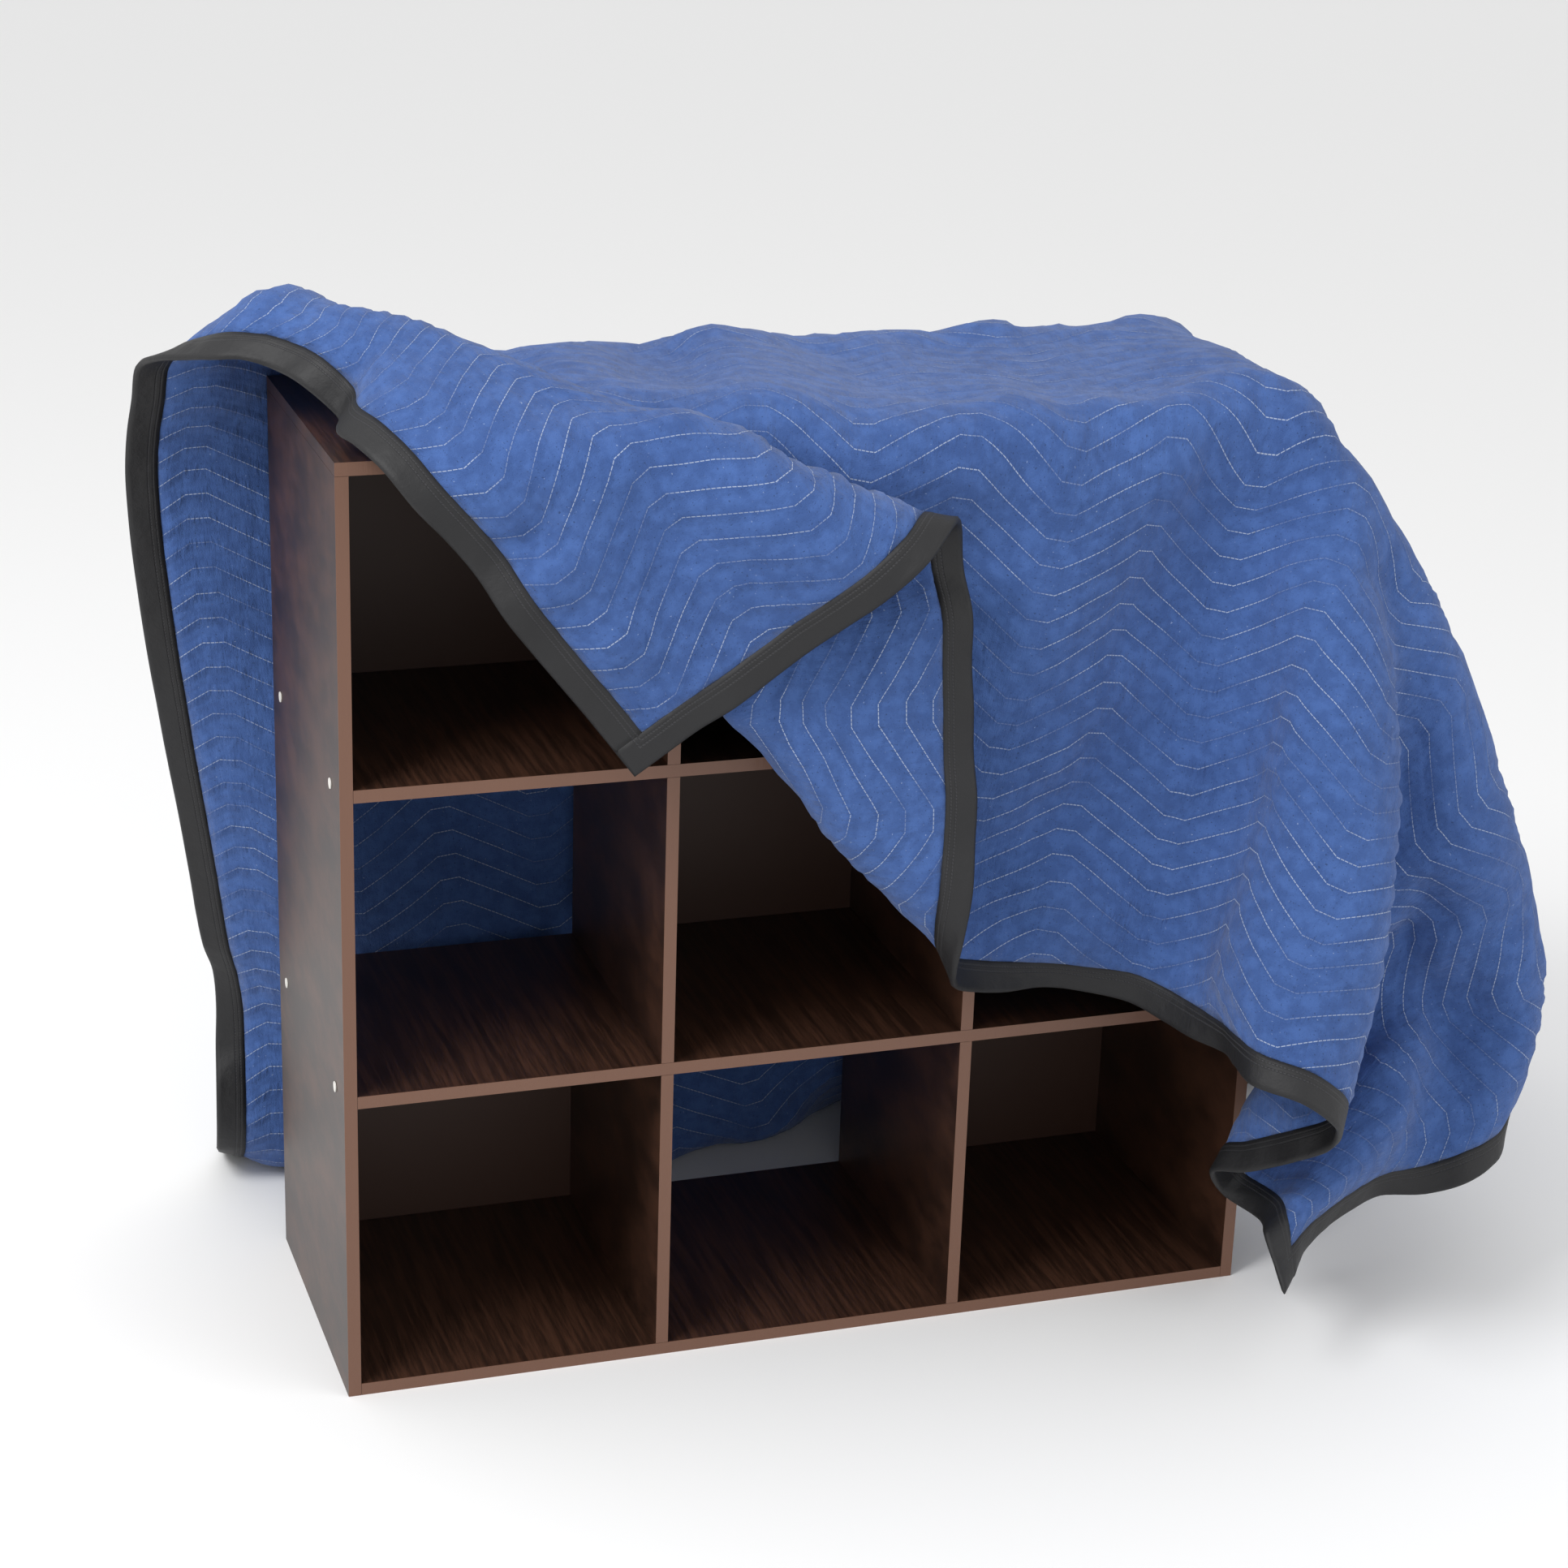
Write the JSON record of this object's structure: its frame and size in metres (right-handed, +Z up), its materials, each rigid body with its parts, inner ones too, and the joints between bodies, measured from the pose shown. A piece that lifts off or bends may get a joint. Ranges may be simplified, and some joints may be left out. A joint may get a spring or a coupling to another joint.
{
  "type": "moving blanket over a cube bookcase",
  "caption": "Quilted moving blanket draped over a cube bookcase, with one front corner thrown back across the top and its hem bound all round",
  "frame": {"origin": "centre of the bookcase underside, on the floor", "axes": "+X to the right seen from the front, +Y to the back, +Z up"},
  "size_m": [1.6087, 1.2806, 1.004],
  "materials": {
    "cloth": "matt",
    "binding": "matt",
    "board": "satin",
    "back_sheet": "matt",
    "cap": "matt"
  },
  "bodies": {
    "root": {"back_0_0": "back_sheet", "back_0_2": "back_sheet", "back_1_1": "back_sheet", "back_1_2": "back_sheet", "back_2_0": "back_sheet", "binding_back": "binding", "binding_front": "binding", "binding_left": "binding", "binding_right": "binding", "cap_1_front": "cap", "cap_1_rear": "cap", "cap_2_front": "cap", "cap_2_rear": "cap", "divider_0_0": "board", "divider_0_1": "board", "divider_1_0": "board", "divider_1_1": "board", "divider_2_0": "board", "divider_2_1": "board", "left_side": "board", "quilted_panel": "cloth", "right_side": "board", "shelf_0": "board", "shelf_1": "board", "shelf_2": "board", "top_board": "board"}
  },
  "joints": []
}
